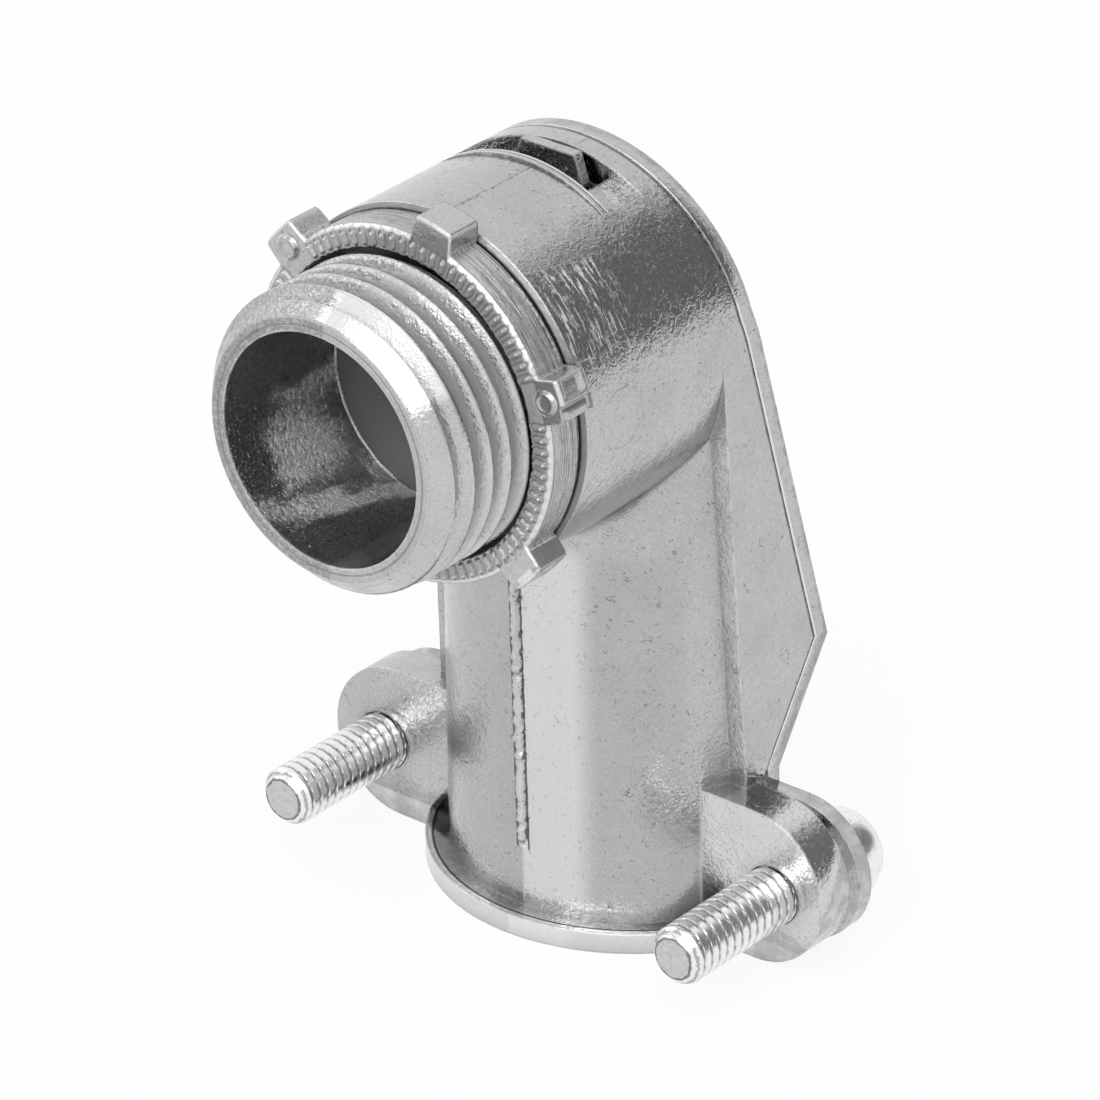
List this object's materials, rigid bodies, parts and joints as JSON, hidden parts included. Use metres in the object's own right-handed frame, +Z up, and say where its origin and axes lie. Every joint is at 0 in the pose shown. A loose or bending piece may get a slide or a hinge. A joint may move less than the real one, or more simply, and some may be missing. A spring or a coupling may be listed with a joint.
{
  "type": "elbow conduit connector",
  "caption": "Right-angle die-cast clamp connector with a threaded nose, a locknut and a hooked rear cover drawn up by two screws.",
  "frame": {"origin": "centre of the conduit socket's mouth, on the bottom face of its flange", "axes": "+Z up along the conduit socket, -Y out of the threaded nose, +X towards the right-hand clamp screw seen from the nose"},
  "size_m": [0.042, 0.0392, 0.0568],
  "materials": {
    "casting": "bright as-cast zinc",
    "locknut": "as-cast zinc",
    "screws": "bright zinc plate"
  },
  "bodies": {
    "body": {"body_casting": "casting"},
    "cover": {"back_cover": "casting"},
    "nut": {"locknut": "locknut"},
    "left_screw": {"screw_left": "screws"},
    "right_screw": {"screw_right": "screws"}
  },
  "joints": [
    {"name": "cover_swing", "type": "hinge", "parent": "body", "child": "cover", "pos_m": [0, -0.0055, 0.0555], "axis": [1, 0, 0], "range_deg": [0, 9]},
    {"name": "locknut_turn", "type": "hinge", "parent": "body", "child": "nut", "pos_m": [0, -0.0233, 0.0429], "axis": [0, -1, 0], "continuous": true},
    {"name": "left_screw_feed", "type": "slide", "parent": "body", "child": "left_screw", "axis": [0, 1, 0], "range_m": [0, 0.0087]},
    {"name": "right_screw_feed", "type": "slide", "parent": "body", "child": "right_screw", "axis": [0, 1, 0], "range_m": [0, 0.0087]}
  ],
  "couplings": [
    {"joint": "left_screw_feed", "follows": "cover_swing", "m_per_rad": 0.0548},
    {"joint": "right_screw_feed", "follows": "cover_swing", "m_per_rad": 0.0548}
  ]
}
